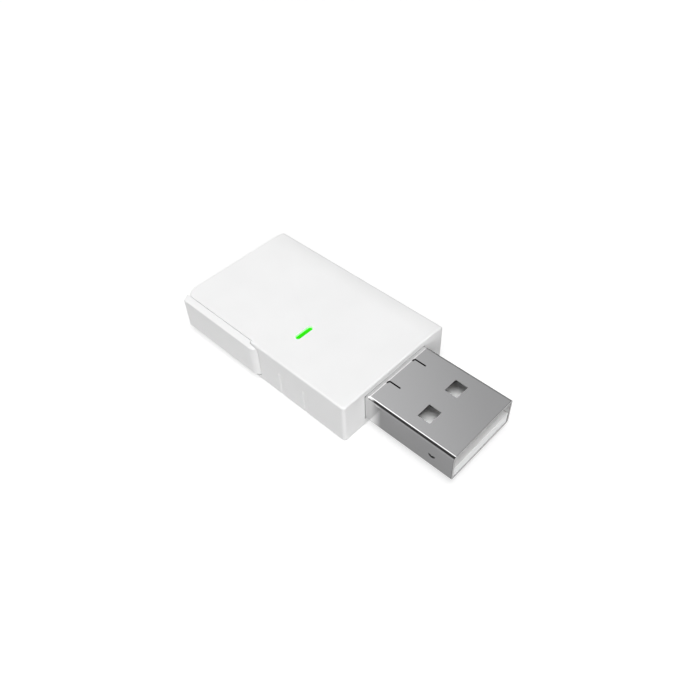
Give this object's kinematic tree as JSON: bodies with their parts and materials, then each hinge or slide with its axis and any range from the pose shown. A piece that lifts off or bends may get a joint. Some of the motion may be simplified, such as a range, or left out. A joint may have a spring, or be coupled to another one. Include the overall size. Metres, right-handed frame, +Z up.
{
  "type": "usb bluetooth gateway",
  "caption": "Flat rounded radio gateway stick with a steel USB-A plug, an indicator slot on top and a long rocking key in one side.",
  "frame": {"origin": "centre of the housing's flat underside", "axes": "+X along the plug, away from the housing; +Z up through the top face; the key is in the -Y side"},
  "size_m": [0.0459, 0.0203, 0.0067],
  "materials": {
    "housing_white": "fine satin moulded plastic",
    "key_white": "fine satin moulded plastic",
    "light_pipe_green": "clear moulding lit bright green",
    "board_green": "solder mask",
    "plug_steel": "nickel plated",
    "tongue_white": "moulded",
    "contact_gold": "gold flashed",
    "shield_steel": "tin plated",
    "chip_black": "moulded epoxy",
    "antenna_ceramic": "glazed ceramic",
    "inductor_grey": "pressed ferrite",
    "capacitor_tan": "ceramic",
    "resistor_black": "glazed film",
    "lamp_white": "clear lens on a white package",
    "switch_black": "moulded",
    "plunger_grey": "moulded"
  },
  "bodies": {
    "housing": {"top_cover": "housing_white", "base_cover": "housing_white", "light_pipe": "light_pipe_green", "circuit_board": "board_green", "usb_shell": "plug_steel", "usb_tongue": "tongue_white", "usb_contact_1": "contact_gold", "usb_contact_2": "contact_gold", "usb_contact_3": "contact_gold", "usb_contact_4": "contact_gold", "shield_can": "shield_steel", "radio_chip": "chip_black", "flash_chip": "chip_black", "crystal": "shield_steel", "chip_antenna": "antenna_ceramic", "voltage_regulator": "chip_black", "power_inductor": "inductor_grey", "esd_diode": "chip_black", "capacitors": "capacitor_tan", "resistors": "resistor_black", "status_led": "lamp_white", "switch_body": "switch_black", "switch_frame": "shield_steel", "switch_dome": "shield_steel"},
    "key": {"side_button": "key_white"},
    "plunger": {"switch_plunger": "plunger_grey"}
  },
  "joints": [
    {"name": "key_rock", "type": "hinge", "parent": "housing", "child": "key", "pos_m": [-0.00777, -0.00815, 0.00535], "axis": [1, 0, 0], "range_deg": [0, 6], "stiffness_Nm_per_rad": 0.015},
    {"name": "plunger_slide", "type": "slide", "parent": "housing", "child": "plunger", "axis": [0, 1, 0], "range_m": [0, 0.00017]}
  ],
  "couplings": [
    {"joint": "plunger_slide", "follows": "key_rock", "m_per_rad": 0.0016}
  ]
}
